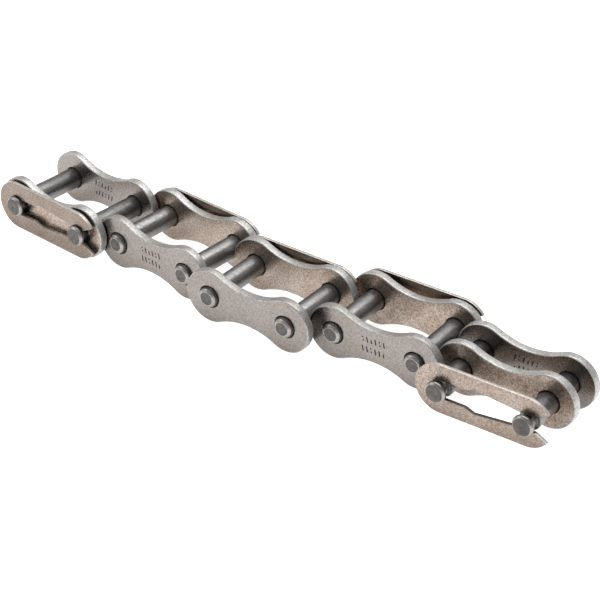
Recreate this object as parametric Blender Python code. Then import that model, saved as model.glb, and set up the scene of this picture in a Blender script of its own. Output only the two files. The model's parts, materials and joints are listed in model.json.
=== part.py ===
"""Five loose connecting links of a roller chain, laid end to end in a staggered row.

Each link is a riveted pin plate with two pins, a loose cover plate on the pins and a spring
clip in the pins' grooves. Lengths are in metres, +Z is up and +X runs along the row.
"""

import math

import bmesh
import bpy
from mathutils import Vector

MM = 0.001

# Driving dimensions of one link.
PITCH = 25.4 * MM
PLATE_HEIGHT = 15.5 * MM
WAIST_HEIGHT = 9.6 * MM
PLATE_THICKNESS = 2.5 * MM
GAP_BETWEEN_PLATES = 18.2 * MM
PIN_DIAMETER = 6.1 * MM
RIVET_PROUD = 1.4 * MM
CLIP_THICKNESS = 1.0 * MM
CLIP_HALF_HEIGHT = 7.2 * MM

# Clearances.
PIN_FIT_GAP = 0.05 * MM
COVER_RUNNING_GAP = 0.08 * MM
CLIP_TO_COVER_GAP = 0.65 * MM
CLIP_TO_GROOVE_GAP = 0.2 * MM

# Pin ends: the groove, which starts a little inside the cover plate's place, the head outside
# it, the groove's neck and the chamfers.
GROOVE_DEPTH_IN_COVER = 0.9 * MM
GROOVE_WIDTH = 3.0 * MM
HEAD_LENGTH = 1.2 * MM
NECK_RADIUS = 2.1 * MM
CHAMFER = 0.6 * MM
PLATE_CHAMFER = 0.3 * MM

# Slot of the clip, as half-widths: round the closed end's pin, in the middle and at the other pin.
SLOT_CLOSED = 2.6 * MM
SLOT_MIDDLE = 3.6 * MM
SLOT_THROAT = 2.25 * MM
MOUTH_HALF = 4.1 * MM
SLOT_STEP_START = 7.6 * MM
SLOT_STEP_END = 10.2 * MM
MOUTH_START = 2.4 * MM

# Fineness of the round shapes, in sides of a full circle.
PIN_SIDES = 24
PLATE_SIDES = 28

PLATE_RADIUS = PLATE_HEIGHT / 2
PIN_RADIUS = PIN_DIAMETER / 2
INNER_FACE = GAP_BETWEEN_PLATES / 2
OUTER_FACE = INNER_FACE + PLATE_THICKNESS
CLIP_FACE = OUTER_FACE + CLIP_TO_COVER_GAP
GROOVE_START = OUTER_FACE - GROOVE_DEPTH_IN_COVER
GROOVE_END = GROOVE_START + GROOVE_WIDTH
PIN_CLIP_END = GROOVE_END + HEAD_LENGTH
PIN_RIVET_END = OUTER_FACE + RIVET_PROUD

# How far a clip lies beyond its usual place in the groove: at the head's end, or well inwards.
CLIP_OUT = GROOVE_END - CLIP_TO_GROOVE_GAP - CLIP_THICKNESS - CLIP_FACE
CLIP_IN = -0.95 * MM

# One entry per link, left to right: distance along the row, depth, turn about Z in degrees,
# which way its pin plate faces (+1 far side, -1 near side), how far its cover plate has
# slipped along the pins from the clip towards the pin plate, and its clip's place.
LINKS = (
    (-74.8 * MM, 4.4 * MM, -3.8, 1, 0.0, CLIP_OUT),
    (-37.5 * MM, 5.0 * MM, -3.0, -1, 0.0, 0.0),
    (0.0, 0.0, 1.6, -1, 0.0, 0.0),
    (36.7 * MM, 6.8 * MM, 3.1, -1, 0.6 * MM, 0.0),
    (73.7 * MM, 3.2 * MM, 3.0, 1, 10.1 * MM, CLIP_IN),
)
# Every clip has its closed end at the row's left.
CLOSED_END_SIDE = -1

# Colour, roughness and metallic value of each kind of piece.
PLATE_STEEL = ((0.46, 0.44, 0.42), 0.42, 0.9)
COVER_STEEL = ((0.44, 0.41, 0.38), 0.45, 0.9)
PIN_STEEL = ((0.20, 0.21, 0.22), 0.35, 0.9)
CLIP_STEEL = ((0.47, 0.42, 0.38), 0.42, 0.9)


def clear_scene():
    for obj in list(bpy.data.objects):
        bpy.data.objects.remove(obj, do_unlink=True)


def material(name, look):
    colour, roughness, metallic = look
    made = bpy.data.materials.new(name)
    made.use_nodes = True
    shader = made.node_tree.nodes["Principled BSDF"]
    shader.inputs["Base Color"].default_value = (*colour, 1.0)
    shader.inputs["Roughness"].default_value = roughness
    shader.inputs["Metallic"].default_value = metallic
    return made


def arc(centre, radius, start, end, steps):
    """Points (x, z) on an arc, both ends included; angles in radians."""
    points = []
    for step in range(steps + 1):
        angle = start + (end - start) * step / steps
        points.append((centre[0] + radius * math.cos(angle), centre[1] + radius * math.sin(angle)))
    return points


def circle(x, radius, sides):
    return arc((x, 0.0), radius, 0.0, math.tau * (sides - 1) / sides, sides - 1)


def waisted_outline(inset):
    """The figure-eight plate: a lobe about each pin, joined by a hollow arc above and below."""
    lobe = PLATE_RADIUS - inset
    waist = WAIST_HEIGHT / 2 - inset
    half = PITCH / 2
    hollow = (half**2 + waist**2 - lobe**2) / (2 * (lobe - waist))
    lean = math.atan2(half, waist + hollow)
    lobe_angle = math.pi / 2 + lean
    lobe_steps = 2 * round(PLATE_SIDES * lobe_angle / math.tau)
    right = arc((half, 0.0), lobe, -lobe_angle, lobe_angle, lobe_steps)
    top = arc((0.0, waist + hollow), hollow, lean - math.pi / 2, -lean - math.pi / 2, 6)
    left = [(-x, -z) for x, z in right]
    bottom = [(-x, -z) for x, z in top]
    return right + top[1:-1] + left + bottom[1:-1]


def clip_outline(side):
    """The clip's outline, with its closed end at the given side of the link."""
    closed = -PITCH / 2
    mouth = PITCH / 2
    tip_angle = math.asin(MOUTH_HALF / CLIP_HALF_HEIGHT)
    upper = arc((mouth, 0.0), CLIP_HALF_HEIGHT, tip_angle, math.pi / 2, 6)
    end = arc((closed, 0.0), CLIP_HALF_HEIGHT, math.pi / 2, 3 * math.pi / 2, 12)
    lower = [(x, -z) for x, z in reversed(upper)]
    slot_half = [
        (mouth + MOUTH_START, -SLOT_THROAT),
        (mouth - MOUTH_START, -SLOT_THROAT),
        (closed + SLOT_STEP_END, -SLOT_MIDDLE),
        (closed + SLOT_STEP_START, -SLOT_CLOSED),
    ]
    slot_end = arc((closed, 0.0), SLOT_CLOSED, -math.pi / 2, -3 * math.pi / 2, 10)
    slot_back = [(x, -z) for x, z in reversed(slot_half)]
    outline = upper + end + lower + slot_half + slot_end + slot_back
    return outline if side < 0 else [(-x, z) for x, z in reversed(outline)]


def ring(bm, points, y):
    return [bm.verts.new((x, y, z)) for x, z in points]


def band(bm, first, second):
    """Joins two rings of equally many corners with a band of quads."""
    for index in range(len(first)):
        following = (index + 1) % len(first)
        bm.faces.new((first[index], first[following], second[following], second[index]))


def fill(bm, rings):
    """Fills the area between an outer ring and any inner rings with triangles."""
    edges = []
    for corners in rings:
        for index in range(len(corners)):
            following = (index + 1) % len(corners)
            edges.append(bm.edges.get((corners[index], corners[following])))
    bmesh.ops.triangle_fill(bm, use_beauty=True, edges=edges)


def finish(bm, name, look, parent, y=0.0):
    """Turns the mesh into a named object of its own, placed at depth y of its link."""
    bmesh.ops.recalc_face_normals(bm, faces=bm.faces)
    mesh = bpy.data.meshes.new(name)
    bm.to_mesh(mesh)
    bm.free()
    mesh.shade_smooth()
    mesh.set_sharp_from_angle(angle=math.radians(35))
    mesh.materials.append(material(name + "_steel", look))
    obj = bpy.data.objects.new(name, mesh)
    bpy.context.scene.collection.objects.link(obj)
    obj.parent = parent
    obj.location = (0.0, y, 0.0)
    return obj


def plate(name, hole_radius, look, parent, y):
    """A waisted plate with chamfered edges and two pin holes, centred at depth y."""
    bm = bmesh.new()
    half = PLATE_THICKNESS / 2
    rims = [
        ring(bm, waisted_outline(PLATE_CHAMFER), -half),
        ring(bm, waisted_outline(0.0), PLATE_CHAMFER - half),
        ring(bm, waisted_outline(0.0), half - PLATE_CHAMFER),
        ring(bm, waisted_outline(PLATE_CHAMFER), half),
    ]
    for lower, upper in zip(rims, rims[1:]):
        band(bm, lower, upper)
    near = [rims[0]]
    far = [rims[-1]]
    for x in (-PITCH / 2, PITCH / 2):
        near.append(ring(bm, circle(x, hole_radius, PIN_SIDES), -half))
        far.append(ring(bm, circle(x, hole_radius, PIN_SIDES), half))
        band(bm, near[-1], far[-1])
    fill(bm, near)
    fill(bm, far)
    return finish(bm, name, look, parent, y)


def pin(name, x, parent):
    """A turned pin: riveted end at +Y, then the shaft, the clip's groove and the head at -Y."""
    profile = (
        (PIN_RADIUS - CHAMFER, PIN_RIVET_END),
        (PIN_RADIUS, PIN_RIVET_END - CHAMFER),
        (PIN_RADIUS, -GROOVE_START),
        (NECK_RADIUS, -GROOVE_START),
        (NECK_RADIUS, -GROOVE_END),
        (PIN_RADIUS, -GROOVE_END),
        (PIN_RADIUS, CHAMFER - PIN_CLIP_END),
        (PIN_RADIUS - CHAMFER, -PIN_CLIP_END),
    )
    bm = bmesh.new()
    rings = [ring(bm, circle(0.0, radius, PIN_SIDES), y) for radius, y in profile]
    for first, second in zip(rings, rings[1:]):
        band(bm, first, second)
    bm.faces.new(rings[0])
    bm.faces.new(rings[-1])
    made = finish(bm, name, PIN_STEEL, parent)
    made.location.x = x
    return made


def spring_clip(name, side, parent, place):
    """A flat clip whose slot holds both pins' necks, behind the pins' heads."""
    outline = clip_outline(side)
    bm = bmesh.new()
    near = ring(bm, outline, -CLIP_THICKNESS / 2)
    far = ring(bm, outline, CLIP_THICKNESS / 2)
    band(bm, near, far)
    fill(bm, [near])
    fill(bm, [far])
    return finish(bm, name, CLIP_STEEL, parent, -CLIP_FACE - CLIP_THICKNESS / 2 - place)


def link(number, x, y, turn, facing, slip, clip_place):
    """One connecting link, built with its pin plate at +Y and turned round if it faces -Y."""
    frame = bpy.data.objects.new(f"link_{number}", None)
    bpy.context.scene.collection.objects.link(frame)
    frame.location = (x, y, PLATE_RADIUS)
    frame.rotation_euler.z = math.radians(turn if facing > 0 else turn + 180)
    middle = INNER_FACE + PLATE_THICKNESS / 2
    plate(f"pin_plate_{number}", PIN_RADIUS + PIN_FIT_GAP, PLATE_STEEL, frame, middle)
    plate(f"cover_plate_{number}", PIN_RADIUS + COVER_RUNNING_GAP, COVER_STEEL, frame, slip - middle)
    pin(f"left_pin_{number}", -facing * PITCH / 2, frame)
    pin(f"right_pin_{number}", facing * PITCH / 2, frame)
    spring_clip(f"spring_clip_{number}", CLOSED_END_SIDE * facing, frame, clip_place)
    return frame


def centre_on_floor(frames):
    """Moves the links together so that the row's box is centred on the origin and stands on Z 0."""
    bpy.context.view_layer.update()
    corners = []
    for frame in frames:
        for piece in frame.children:
            corners.extend(piece.matrix_world @ vertex.co for vertex in piece.data.vertices)
    low = Vector(min(corner[axis] for corner in corners) for axis in range(3))
    high = Vector(max(corner[axis] for corner in corners) for axis in range(3))
    shift = Vector(((low.x + high.x) / 2, (low.y + high.y) / 2, low.z))
    for frame in frames:
        frame.location -= shift
    bpy.context.view_layer.update()


clear_scene()
centre_on_floor([link(index + 1, *layout) for index, layout in enumerate(LINKS)])
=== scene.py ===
"""Studio picture of five loose connecting links of a roller chain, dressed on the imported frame.

Every piece is built in its own link's coordinates, in metres: X along the link, Y along its
pins towards the pin plate, Z up, with the origin midway between the plates and the pins.
"""

import json
import math

import bmesh
import bpy
from mathutils import Matrix, Vector

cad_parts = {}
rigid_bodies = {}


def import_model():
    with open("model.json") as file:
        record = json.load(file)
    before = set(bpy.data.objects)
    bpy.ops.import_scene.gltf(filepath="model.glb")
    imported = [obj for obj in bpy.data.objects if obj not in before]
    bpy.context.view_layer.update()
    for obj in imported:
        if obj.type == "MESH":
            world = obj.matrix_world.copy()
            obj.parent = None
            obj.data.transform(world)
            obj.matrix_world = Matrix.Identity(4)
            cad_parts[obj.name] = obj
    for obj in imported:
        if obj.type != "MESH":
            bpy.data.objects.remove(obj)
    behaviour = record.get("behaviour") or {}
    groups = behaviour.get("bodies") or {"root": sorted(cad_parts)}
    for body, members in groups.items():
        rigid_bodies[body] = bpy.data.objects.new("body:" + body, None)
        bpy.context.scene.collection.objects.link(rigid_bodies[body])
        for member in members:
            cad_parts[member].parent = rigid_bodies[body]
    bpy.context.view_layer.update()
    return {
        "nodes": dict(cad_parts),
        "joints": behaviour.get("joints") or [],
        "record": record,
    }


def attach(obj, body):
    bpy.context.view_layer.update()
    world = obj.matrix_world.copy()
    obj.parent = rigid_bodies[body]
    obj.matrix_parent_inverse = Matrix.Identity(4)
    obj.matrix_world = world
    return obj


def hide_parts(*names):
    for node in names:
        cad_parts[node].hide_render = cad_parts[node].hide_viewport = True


MM = 0.001

# Sizes of one link, the same as the CAD model's.
PITCH = 25.4 * MM
PLATE_RADIUS = 7.75 * MM
WAIST_HALF = 4.8 * MM
PLATE_THICKNESS = 2.5 * MM
INNER_FACE = 9.1 * MM
OUTER_FACE = INNER_FACE + PLATE_THICKNESS
PIN_RADIUS = 3.05 * MM
COVER_HOLE_RADIUS = 3.13 * MM
PLATE_HOLE_RADIUS = 3.1 * MM
CLIP_THICKNESS = 1.0 * MM
CLIP_HALF_HEIGHT = 7.2 * MM
GROOVE_START = 10.7 * MM
GROOVE_END = 13.7 * MM
NECK_RADIUS = 2.1 * MM
HEAD_END = 14.9 * MM
RIVET_END = 13.0 * MM
SLOT_CLOSED = 2.6 * MM
SLOT_MIDDLE = 3.6 * MM
SLOT_THROAT = 2.25 * MM
SLOT_STEP_START = 7.6 * MM
SLOT_STEP_END = 10.2 * MM
MOUTH_HALF = 4.1 * MM
MOUTH_START = 2.4 * MM

# Small shapes that the CAD model leaves out.
EDGE_RADIUS = 0.34 * MM
HOLE_CHAMFER = 0.26 * MM
CLIP_EDGE = 0.1 * MM
CLIP_CORNER = 0.3 * CLIP_EDGE
MARK_DEPTH = 0.14 * MM
MARK_LENGTH = 1.7 * MM
MARK_WIDTH = 0.42 * MM
MARK_PITCH = 1.3 * MM
MARK_TAPER = 0.06 * MM
MARK_LEAN = 0.22
SHORT_BAR_CUT = 0.6 * MM
DOT_RADIUS = 0.6 * MARK_WIDTH
DOT_LIFT = 0.5 * MM
# Two rows of stamped marks: height of the row, then b for a bar, s for a short bar and d for
# a pair of dots.
MARK_ROWS = ((1.75 * MM, "bdbsbd"), (-1.2 * MM, "sbbdbb"))

# The pin's ends as radius, depth below the end and material slot, from the middle outwards.
# The slots are 0 for the shaft, 1 for the dark end, which on the rivet also paints shade on its
# rounded side, and 2 for the edge, painted lighter as a highlight.
RIVET_SHAPE = (
    (0.0, 0.16 * MM, 1),
    (1.3 * MM, 0.13 * MM, 1),
    (1.8 * MM, 0.07 * MM, 1),
    # From here to the rounded side the rivet's ring takes the edge slot, painted lighter as a
    # highlight.
    (1.93 * MM, 0.01 * MM, 2),
    (2.02 * MM, 0.0, 2),
    (2.12 * MM, 0.03 * MM, 2),
    (2.5 * MM, 0.3 * MM, 2),
    # The rivet's rounded side takes the dark end's slot, as painted shade.
    (2.74 * MM, 0.52 * MM, 1),
    (2.95 * MM, 0.8 * MM, 1),
    (PIN_RADIUS, 1.15 * MM, 0),
)
HEAD_SHAPE = (
    (0.0, 0.16 * MM, 1),
    (0.16 * MM, 0.14 * MM, 1),
    (0.42 * MM, 0.0, 1),
    (2.47 * MM, 0.0, 1),
    # The head's chamfer takes the edge slot, painted lighter as a highlight.
    (2.55 * MM, 0.04 * MM, 2),
    (PIN_RADIUS - 0.08 * MM, 0.46 * MM, 2),
    (PIN_RADIUS, 0.6 * MM, 2),
)
SHAFT_BREAK = 0.12 * MM
GROOVE_BREAK = 0.1 * MM

# Which links look different: stamped marks on the riveted plate's outer or inner face, a greyer
# painted highlight on its rim, and one clip that is paler than the others, with painted shade on its
# slot's edge.
MARKED_OUTSIDE = (2, 4)
MARKED_INSIDE = (1, 5)
GREY_RIMS = (2, 3, 4)
PALE_CLIP_LINK = 5
PALE_CLIP = 1.3

# Fineness: corners beyond this angle stay sharp; sides of the round shapes; steps of a rounded edge.
SHARP_ANGLE = math.radians(35)
LOBE_STEPS = 72
WAIST_STEPS = 24
PIN_SIDES = 72
HOLE_SIDES = 64
EDGE_STEPS = 6

# The steels' surface: size of each noise pattern, how far roughness strays and the grain's depth.
PATCH_SCALE = 150.0
SPECKLE_SCALE = 2300.0
PIT_SCALE = 1300.0
ROUGHNESS_SCALE = 1100.0
GRAIN_SCALE = 1900.0
GRAIN_DEPTH = 0.06 * MM
GRAIN_STRENGTH = 0.6
WHITE = (1.0, 1.0, 1.0)

# Camera: where it looks, from which side, how far off.
AIM = Vector((8.8, -2.7, 7.75)) * MM
CAMERA_AZIMUTH = 38.2
CAMERA_ELEVATION = 32.0
CAMERA_DISTANCE = 577.6 * MM
LENS = 128.9
SENSOR_WIDTH = 36.0


def arc(centre, radius, start, end, steps):
    """Points (x, z) on an arc, both ends included; angles in radians."""
    points = []
    for step in range(steps + 1):
        angle = start + (end - start) * step / steps
        points.append((centre[0] + radius * math.cos(angle), centre[1] + radius * math.sin(angle)))
    return points


def circle(x, z, radius, sides):
    """Points (x, z) on a full circle."""
    return arc((x, z), radius, 0.0, math.tau * (sides - 1) / sides, sides - 1)


def waisted_outline(inset):
    """The plate's outline, drawn in by inset: two round lobes joined by a hollow waist."""
    lobe = PLATE_RADIUS - inset
    waist = WAIST_HALF - inset
    half = PITCH / 2
    hollow = (half**2 + waist**2 - lobe**2) / (2 * (lobe - waist))
    lean = math.atan2(half, waist + hollow)
    lobe_angle = math.pi / 2 + lean
    right = arc((half, 0.0), lobe, -lobe_angle, lobe_angle, LOBE_STEPS)
    top = arc((0.0, waist + hollow), hollow, lean - math.pi / 2, -lean - math.pi / 2, WAIST_STEPS)
    left = [(-x, -z) for x, z in right]
    bottom = [(-x, -z) for x, z in top]
    return right + top[1:-1] + left + bottom[1:-1]


def clip_outlines(side):
    """The outer edge and the slot of a flat spring clip whose closed end is at side, -1 or +1."""
    half = PITCH / 2
    tip = math.asin(MOUTH_HALF / CLIP_HALF_HEIGHT)
    upper = arc((half, 0.0), CLIP_HALF_HEIGHT, tip, math.pi / 2, 20)
    closed = arc((-half, 0.0), CLIP_HALF_HEIGHT, math.pi / 2, 1.5 * math.pi, 56)
    lower = [(x, -z) for x, z in reversed(upper)]
    slot = [
        (half + MOUTH_START, -SLOT_THROAT),
        (half - MOUTH_START, -SLOT_THROAT),
        (SLOT_STEP_END - half, -SLOT_MIDDLE),
        (SLOT_STEP_START - half, -SLOT_CLOSED),
    ]
    bend = arc((-half, 0.0), SLOT_CLOSED, -math.pi / 2, -1.5 * math.pi, 32)
    back = [(x, -z) for x, z in reversed(slot)]
    outer = upper + closed + lower
    inner = slot + bend + back
    return [(-side * x, z) for x, z in outer], [(-side * x, z) for x, z in inner]


def drawn_in(points, distance):
    """A closed outline moved inwards by distance, whichever way round it runs."""
    count = len(points)
    area = sum(
        points[i - 1][0] * points[i][1] - points[i][0] * points[i - 1][1]
        for i in range(count)
    )
    side = distance if area > 0 else -distance
    moved = []
    for i in range(count):
        here = Vector(points[i])
        before = (here - Vector(points[i - 1])).normalized()
        after = (Vector(points[(i + 1) % count]) - here).normalized()
        normal = Vector((-before.y - after.y, before.x + after.x)).normalized()
        across = normal.dot(Vector((-before.y, before.x)))
        moved.append(tuple(here + normal * side / max(across, 0.4)))
    return moved


def ring(bm, points, y):
    """A closed loop of edges through the points (x, z), at depth y."""
    verts = [bm.verts.new((x, y, z)) for x, z in points]
    for first, second in zip(verts, verts[1:] + verts[:1]):
        bm.edges.new((first, second))
    return verts


def band(bm, first, second, slot=0, slots=None):
    """Faces between two rings of the same length, in one material slot or in one slot each."""
    count = len(first)
    for i in range(count):
        j = (i + 1) % count
        face = bm.faces.new((first[i], first[j], second[j], second[i]))
        face.material_index = slots[i] if slots else slot
        face.smooth = True


def fill(bm, rings):
    """A flat face inside the first ring, with the other rings as holes."""
    edges = []
    for verts in rings:
        edges.extend(bm.edges.get((a, b)) for a, b in zip(verts, verts[1:] + verts[:1]))
    made = bmesh.ops.triangle_fill(bm, edges=edges, use_beauty=True, use_dissolve=False)
    for face in made["geom"]:
        if isinstance(face, bmesh.types.BMFace):
            face.smooth = False


def lathe(bm, profile, sides):
    """Turns a profile about Y. Its rows are radius, y and the slot of the band that starts there."""
    rings = []
    for radius, y, _ in profile:
        if radius > 0:
            rings.append(ring(bm, circle(0.0, 0.0, radius, sides), y))
        else:
            rings.append([bm.verts.new((0.0, y, 0.0))])
    for (first, second), (_, _, slot) in zip(zip(rings, rings[1:]), profile):
        if len(first) > 1 and len(second) > 1:
            band(bm, first, second, slot)
            continue
        hub, rim = (first[0], second) if len(first) == 1 else (second[0], first)
        for a, b in zip(rim, rim[1:] + rim[:1]):
            face = bm.faces.new((a, b, hub))
            face.material_index = slot
            face.smooth = True


def place(bm, name, looks, link, body, node):
    """Turns the mesh into a piece that stands for a CAD node and moves with its body."""
    bmesh.ops.recalc_face_normals(bm, faces=bm.faces)
    for edge in bm.edges:
        if len(edge.link_faces) == 2 and edge.calc_face_angle(0.0) > SHARP_ANGLE:
            edge.smooth = False
    mesh = bpy.data.meshes.new(name)
    bm.to_mesh(mesh)
    bm.free()
    for look in looks:
        mesh.materials.append(look)
    made = bpy.data.objects.new(name, mesh)
    bpy.context.scene.collection.objects.link(made)
    made.matrix_world = link["frame"]
    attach(made, body)
    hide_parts(node)
    return made


def mark_outlines():
    """Outlines of the stamped marks: leaning bars and pairs of dots, in two rows."""
    outlines = []
    for height, row in MARK_ROWS:
        for index, kind in enumerate(row):
            x = (index - (len(row) - 1) / 2) * MARK_PITCH
            if kind == "b":
                outlines.append(bar(x, height, MARK_LENGTH))
            elif kind == "s":
                outlines.append(bar(x, height - SHORT_BAR_CUT / 2, MARK_LENGTH - SHORT_BAR_CUT))
            else:
                for lift in (-DOT_LIFT, DOT_LIFT):
                    outlines.append(circle(x + lift * MARK_LEAN, height + lift, DOT_RADIUS, 10))
    return outlines


def bar(x, z, length):
    """A leaning bar with round ends."""
    reach = length / 2 - MARK_WIDTH / 2
    top = arc((reach * MARK_LEAN, reach), MARK_WIDTH / 2, 0.0, math.pi, 5)
    bottom = arc((-reach * MARK_LEAN, -reach), MARK_WIDTH / 2, math.pi, math.tau, 5)
    return [(x + px, z + pz) for px, pz in top + bottom]


def stamp(bm, y, depth):
    """Sinks the marks into a face at y; depth is signed, towards the inside of the plate."""
    mouths = []
    for outline in mark_outlines():
        mouth = ring(bm, outline, y)
        floor = ring(bm, drawn_in(outline, MARK_TAPER), y + depth)
        # The marks' walls and floors take slot 1, dark for dirt and painted shade in the recess.
        band(bm, mouth, floor, 1)
        base = bm.faces.new(floor)
        base.material_index = 1
        mouths.append(mouth)
    return mouths


def rounded_edge():
    """The plate's edge from face to face, as inset and y from the plate's middle."""
    half = PLATE_THICKNESS / 2
    profile = []
    for step in range(EDGE_STEPS + 1):
        angle = math.pi / 2 * step / EDGE_STEPS
        inset = EDGE_RADIUS * (1 - math.sin(angle))
        profile.append((inset, -half + EDGE_RADIUS * (1 - math.cos(angle))))
    return profile + [(inset, -y) for inset, y in reversed(profile)]


def bore(bm, x, hole, middle):
    """A hole with broken edges through the plate; returns its mouths at both faces."""
    half = PLATE_THICKNESS / 2
    rows = (
        (hole + HOLE_CHAMFER, -half),
        (hole, HOLE_CHAMFER - half),
        (hole, half - HOLE_CHAMFER),
        (hole + HOLE_CHAMFER, half),
    )
    rings = [ring(bm, circle(x, 0.0, radius, HOLE_SIDES), middle + y) for radius, y in rows]
    # The hole's edges take slot 1, a dark look that paints the shade where the pin meets the plate.
    for first, second in zip(rings, rings[1:]):
        band(bm, first, second, 1)
    return rings[0], rings[-1]


def plate(link, name, body, node, middle, hole, looks, marked):
    """A waisted plate with rounded edges; marked is +1 or -1 for the face with stamped marks.

    Its material slots are 0 for the faces, 1 for holes and marks, dark as painted shade round the
    pins and as dirt and painted shade in the marks, and 2 for the rim, paler as a painted highlight.
    """
    bm = bmesh.new()
    half = PLATE_THICKNESS / 2
    rims = [ring(bm, waisted_outline(inset), middle + y) for inset, y in rounded_edge()]
    for first, second in zip(rims, rims[1:]):
        band(bm, first, second, 2)
    near = [rims[0]]
    far = [rims[-1]]
    for x in (-PITCH / 2, PITCH / 2):
        near_mouth, far_mouth = bore(bm, x, hole, middle)
        near.append(near_mouth)
        far.append(far_mouth)
    if marked > 0:
        far += stamp(bm, middle + half, -MARK_DEPTH)
    if marked < 0:
        near += stamp(bm, middle - half, MARK_DEPTH)
    fill(bm, near)
    fill(bm, far)
    return place(bm, name, looks, link, body, node)


def pin(link, name, body, node, x, looks):
    """A turned pin: dished rivet end at +Y, shaft, groove, then the chamfered head at -Y."""
    rivet = [(radius, RIVET_END - depth, slot) for radius, depth, slot in RIVET_SHAPE]
    groove = [
        (PIN_RADIUS, SHAFT_BREAK - GROOVE_START, 0),
        (PIN_RADIUS - SHAFT_BREAK, -GROOVE_START, 0),
        (NECK_RADIUS + GROOVE_BREAK, -GROOVE_START, 0),
        (NECK_RADIUS, -GROOVE_START - GROOVE_BREAK, 0),
        (NECK_RADIUS, GROOVE_BREAK - GROOVE_END, 0),
        (NECK_RADIUS + GROOVE_BREAK, -GROOVE_END, 0),
        (PIN_RADIUS - GROOVE_BREAK, -GROOVE_END, 0),
        (PIN_RADIUS, -GROOVE_END - GROOVE_BREAK, 0),
    ]
    head = [(radius, depth - HEAD_END, slot) for radius, depth, slot in reversed(HEAD_SHAPE)]
    bm = bmesh.new()
    lathe(bm, rivet + groove + head, PIN_SIDES)
    bmesh.ops.translate(bm, verts=bm.verts, vec=(x, 0.0, 0.0))
    return place(bm, name, looks, link, body, node)


def clip(link, name, body, node, side, middle, looks):
    """A flat spring clip with slightly broken edges, its slot round both pins' necks.

    Its material slots are 0 for the faces, 1 for the outer edge and 2 for the slot's edge; the
    edges' paler look is a painted highlight, and on one link the slot's edge carries painted shade.
    """
    outer_edge, slot_edge = clip_outlines(side)
    outline = outer_edge + slot_edge
    slots = [1] * len(outer_edge) + [2] * len(slot_edge)
    inner = drawn_in(outline, CLIP_EDGE)
    corner = drawn_in(outline, CLIP_CORNER)
    half = CLIP_THICKNESS / 2
    bm = bmesh.new()
    rows = (
        (inner, -half),
        (corner, CLIP_CORNER - half),
        (outline, CLIP_EDGE - half),
        (outline, half - CLIP_EDGE),
        (corner, half - CLIP_CORNER),
        (inner, half),
    )
    rings = [ring(bm, points, middle + y) for points, y in rows]
    for first, second in zip(rings, rings[1:]):
        band(bm, first, second, slots=slots)
    fill(bm, [rings[0]])
    fill(bm, [rings[-1]])
    return place(bm, name, looks, link, body, node)


def shader_node(tree, kind, **settings):
    """A new node of a material, with its settings."""
    made = tree.nodes.new(kind)
    for key, value in settings.items():
        setattr(made, key, value)
    return made


def noise(tree, coords, scale, detail, seed):
    """Noise in four dimensions; the fourth, seed, sets one link's pattern apart."""
    made = shader_node(tree, "ShaderNodeTexNoise", noise_dimensions="4D")
    made.inputs["Scale"].default_value = scale
    made.inputs["Detail"].default_value = detail
    made.inputs["W"].default_value = seed
    tree.links.new(coords, made.inputs["Vector"])
    return made.outputs["Fac"]


def ramp(tree, value, stops):
    """A colour that runs between two stops of (position, colour)."""
    made = shader_node(tree, "ShaderNodeValToRGB")
    for element, (position, colour) in zip(made.color_ramp.elements, stops):
        element.position = position
        element.color = (*colour, 1.0)
    tree.links.new(value, made.inputs["Fac"])
    return made.outputs["Color"]


def multiply(tree, first, second):
    """The product of two colours."""
    made = shader_node(tree, "ShaderNodeMix", data_type="RGBA", blend_type="MULTIPLY")
    made.inputs["Factor"].default_value = 1.0
    tree.links.new(first, made.inputs["A"])
    tree.links.new(second, made.inputs["B"])
    return made.outputs["Result"]


def dotted(tree, where, colour, scale, detail, seed, amount, stops):
    """The colour darkened by amount where a fine noise is low, between the two stops."""
    dark = (1.0 - amount,) * 3
    shade = ramp(tree, noise(tree, where, scale, detail, seed), zip(stops, (dark, WHITE)))
    return multiply(tree, colour, shade)


def steel(name, light, tinted, rough, seed, speckle=0.3, pits=0.35, metal=1.0):
    """Mottled steel: wide patches of two tints, speckle, small dark pits and a grainy surface."""
    look = bpy.data.materials.new(name)
    look.use_nodes = True
    tree = look.node_tree
    shader = tree.nodes["Principled BSDF"]
    shader.inputs["Metallic"].default_value = metal
    where = shader_node(tree, "ShaderNodeTexCoord").outputs["Object"]
    patches = noise(tree, where, PATCH_SCALE, 5.0, seed)
    colour = ramp(tree, patches, ((0.36, light), (0.66, tinted)))
    colour = dotted(tree, where, colour, SPECKLE_SCALE, 5.0, seed, speckle, (0.38, 0.6))
    colour = dotted(tree, where, colour, PIT_SCALE, 3.0, seed + 9.0, pits, (0.27, 0.34))
    tree.links.new(colour, shader.inputs["Base Color"])
    spread = shader_node(tree, "ShaderNodeMapRange")
    spread.inputs["From Min"].default_value = 0.35
    spread.inputs["From Max"].default_value = 0.65
    spread.inputs["To Min"].default_value = rough - 0.08
    spread.inputs["To Max"].default_value = rough + 0.1
    wear = noise(tree, where, ROUGHNESS_SCALE, 4.0, seed + 3.0)
    tree.links.new(wear, spread.inputs["Value"])
    tree.links.new(spread.outputs["Result"], shader.inputs["Roughness"])
    bump = shader_node(tree, "ShaderNodeBump")
    bump.inputs["Strength"].default_value = GRAIN_STRENGTH
    bump.inputs["Distance"].default_value = GRAIN_DEPTH
    grain = noise(tree, where, GRAIN_SCALE, 5.0, seed + 7.0)
    tree.links.new(grain, bump.inputs["Height"])
    tree.links.new(bump.outputs["Normal"], shader.inputs["Normal"])
    return look


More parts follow.
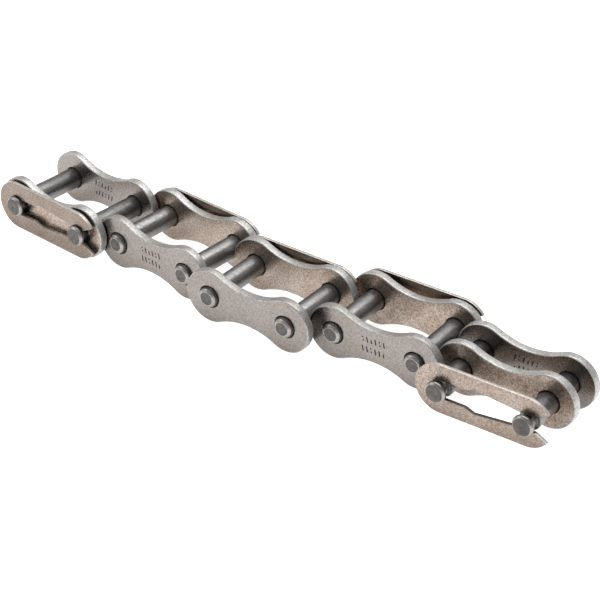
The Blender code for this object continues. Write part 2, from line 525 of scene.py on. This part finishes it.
def looks_of(number):
    """The materials of one link, each with that link's own pattern.

    Each row gives the look's key, the material's name and then what steel() takes: two tints,
    roughness, seed and, where they differ from the usual, speckle, pits and metal.
    """
    seed = number * 5.0
    tone = PALE_CLIP if number == PALE_CLIP_LINK else 1.0
    clip_light = tuple(tone * value for value in (0.27, 0.222, 0.192))
    clip_tinted = tuple(tone * value for value in (0.225, 0.172, 0.14))
    cover = ((0.445, 0.37, 0.318), (0.345, 0.26, 0.206), 0.27, seed + 1.0, 0.5, 0.7, 0.88)
    # The rims get paler colours than the faces, a painted highlight for the light on the edges; it
    # is greyer and dimmer on the riveted plates of GREY_RIMS.
    rim = ((0.5, 0.488, 0.468), (0.45, 0.434, 0.41), 0.4, seed + 4.0, 0.4, 0.5, 0.65)
    grey_rim_highlight = ((0.42, 0.4, 0.38), (0.38, 0.356, 0.332), 0.4, seed + 4.0, 0.4, 0.5, 0.65)
    # The clip's edges get a paler colour than its faces, a painted highlight.
    clip_edge = ((0.5, 0.465, 0.43), (0.45, 0.41, 0.375), 0.42, seed, 0.3, 0.3, 0.6)
    rows = (
        ("plate", "plate_steel", (0.25, 0.226, 0.212), (0.236, 0.207, 0.188), 0.24, seed),
        ("cover", "cover_steel", *cover),
        ("rim", "rim_painted_highlight", *rim),
        ("plate_rim", "plate_rim_painted_highlight", *grey_rim_highlight),
        ("clip", "clip_steel", clip_light, clip_tinted, 0.32, seed + 2.0, 0.45, 0.5),
        ("clip_edge", "clip_edge_painted_highlight", *clip_edge),
        ("pin", "pin_steel", (0.24, 0.236, 0.228), (0.2, 0.194, 0.186), 0.38, seed, 0.3, 0.4),
        # Dark pin ends; on the rivets this look also paints shade on the rounded side.
        ("pin_end", "pin_end_and_painted_shade", (0.125, 0.114, 0.109), (0.1, 0.091, 0.087), 0.5, seed),
        # The pins' edge look is paler than the shaft, a painted highlight.
        ("pin_edge", "pin_edge_painted_highlight", (0.34, 0.326, 0.308), (0.295, 0.28, 0.262), 0.34, seed),
        # Dark look for holes, marks and one clip's slot: painted shade round the pins and in the
        # slot, dirt and painted shade in the marks.
        ("dirt_and_shade", "dirt_and_painted_shade", (0.085, 0.07, 0.058), (0.055, 0.044, 0.036), 0.55, seed),
    )
    return {key: steel(f"{name}_{number}", *settings) for key, name, *settings in rows}


def link_frames(frame):
    """Each link's coordinates, read from the record's mounts and from the CAD nodes."""
    mounts = {mount["name"]: mount for mount in frame["record"]["mounts"]}
    joints = {joint["name"]: joint for joint in frame["joints"]}
    links = []
    for number in range(1, 6):
        mount = mounts[f"link_{number}_outer_face"]
        along_pins = Vector(mount["axis"]).normalized()
        centre = Vector(mount["pos_m"]) - along_pins * OUTER_FACE
        along_link = along_pins.cross(Vector((0.0, 0.0, 1.0)))
        axes = Matrix((along_link, along_pins, (0.0, 0.0, 1.0))).transposed().to_4x4()
        link = {"number": number, "frame": Matrix.Translation(centre) @ axes}
        for key, node in (("cover", f"cover_plate_{number}"), ("clip", f"spring_clip_{number}")):
            depths = [(v.co - centre).dot(along_pins) for v in frame["nodes"][node].data.vertices]
            link[key] = (min(depths) + max(depths)) / 2
        slide = Vector(joints[f"clip_{number}_slide"]["axis"])
        link["closed_side"] = 1 if slide.dot(along_link) > 0 else -1
        link["left_side"] = -1 if along_pins.y > 0 else 1
        links.append(link)
    return links


def build_plates(link, looks):
    """The riveted pin plate and the loose cover plate."""
    number = link["number"]
    marked = (number in MARKED_OUTSIDE) - (number in MARKED_INSIDE)
    # The rim's look is a painted highlight, a dimmer one on the links in GREY_RIMS.
    rim = looks["plate_rim"] if number in GREY_RIMS else looks["rim"]
    plate(
        link,
        f"link_{number}_riveted_plate",
        f"link_{number}_pins",
        f"pin_plate_{number}",
        INNER_FACE + PLATE_THICKNESS / 2,
        PLATE_HOLE_RADIUS,
        (looks["plate"], looks["dirt_and_shade"], rim),
        marked,
    )
    plate(
        link,
        f"link_{number}_loose_plate",
        f"link_{number}_cover",
        f"cover_plate_{number}",
        link["cover"],
        COVER_HOLE_RADIUS,
        (looks["cover"], looks["dirt_and_shade"], looks["rim"]),
        0,
    )


def build_link(link):
    """The five pieces of one link."""
    number = link["number"]
    looks = looks_of(number)
    build_plates(link, looks)
    pin_looks = (looks["pin"], looks["pin_end"], looks["pin_edge"])
    for side, sign in (("left", 1), ("right", -1)):
        x = link["left_side"] * sign * PITCH / 2
        name = f"link_{number}_{side}_turned_pin"
        pin(link, name, f"link_{number}_pins", f"{side}_pin_{number}", x, pin_looks)
    # On the pale clip the slot's edge takes the dark look, as painted shade; on the others it takes
    # the edges' painted highlight.
    slot_look = looks["dirt_and_shade"] if number == PALE_CLIP_LINK else looks["clip_edge"]
    clip(
        link,
        f"link_{number}_flat_clip",
        f"link_{number}_clip",
        f"spring_clip_{number}",
        link["closed_side"],
        link["clip"],
        (looks["clip"], looks["clip_edge"], slot_look),
    )


def build_floor():
    """A wide white floor, which also lights the plates from below."""
    bpy.ops.mesh.primitive_plane_add(size=8.0, location=(0.0, 0.0, 0.0))
    floor = bpy.context.object
    floor.name = "studio_floor"
    look = bpy.data.materials.new("floor_white")
    look.use_nodes = True
    shader = look.node_tree.nodes["Principled BSDF"]
    shader.inputs["Base Color"].default_value = (0.93, 0.93, 0.93, 1.0)
    shader.inputs["Roughness"].default_value = 0.9
    shader.inputs["Specular IOR Level"].default_value = 0.0
    shader.inputs["Emission Color"].default_value = (*WHITE, 1.0)
    shader.inputs["Emission Strength"].default_value = 0.75
    floor.data.materials.append(look)


def softbox(name, place_at, size, power, colour=WHITE):
    """An area light that faces the row."""
    data = bpy.data.lights.new(name, "AREA")
    data.shape = "RECTANGLE"
    data.size = size[0]
    data.size_y = size[1]
    data.energy = power
    data.color = colour
    made = bpy.data.objects.new(name, data)
    bpy.context.scene.collection.objects.link(made)
    made.location = place_at
    made.rotation_euler = (AIM - Vector(place_at)).to_track_quat("-Z", "Y").to_euler()


def light_scene():
    """A white room, a large soft light above and behind the row, and a weaker one at its left."""
    world = bpy.data.worlds.new("studio_air")
    world.use_nodes = True
    background = world.node_tree.nodes["Background"]
    background.inputs["Color"].default_value = (*WHITE, 1.0)
    background.inputs["Strength"].default_value = 0.5
    bpy.context.scene.world = world
    softbox("top_softbox", (-0.05, 0.25, 0.9), (0.9, 0.7), 10.0, (0.97, 0.985, 1.0))
    softbox("left_softbox", (-0.75, -0.5, 0.55), (0.6, 0.6), 2.3)


def build_camera():
    """A long lens that looks down on the row from the right of its near side."""
    azimuth = math.radians(CAMERA_AZIMUTH)
    elevation = math.radians(CAMERA_ELEVATION)
    back = Vector((
        math.sin(azimuth) * math.cos(elevation),
        -math.cos(azimuth) * math.cos(elevation),
        math.sin(elevation),
    ))
    data = bpy.data.cameras.new("product_camera")
    data.lens = LENS
    data.sensor_width = SENSOR_WIDTH
    data.clip_start = 0.01
    camera = bpy.data.objects.new("product_camera", data)
    bpy.context.scene.collection.objects.link(camera)
    camera.location = AIM + back * CAMERA_DISTANCE
    camera.rotation_euler = (-back).to_track_quat("-Z", "Y").to_euler()
    bpy.context.scene.camera = camera
    bpy.context.scene.view_settings.view_transform = "Standard"


for default in list(bpy.data.objects):
    bpy.data.objects.remove(default, do_unlink=True)
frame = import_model()
for link in link_frames(frame):
    build_link(link)
build_floor()
light_scene()
build_camera()
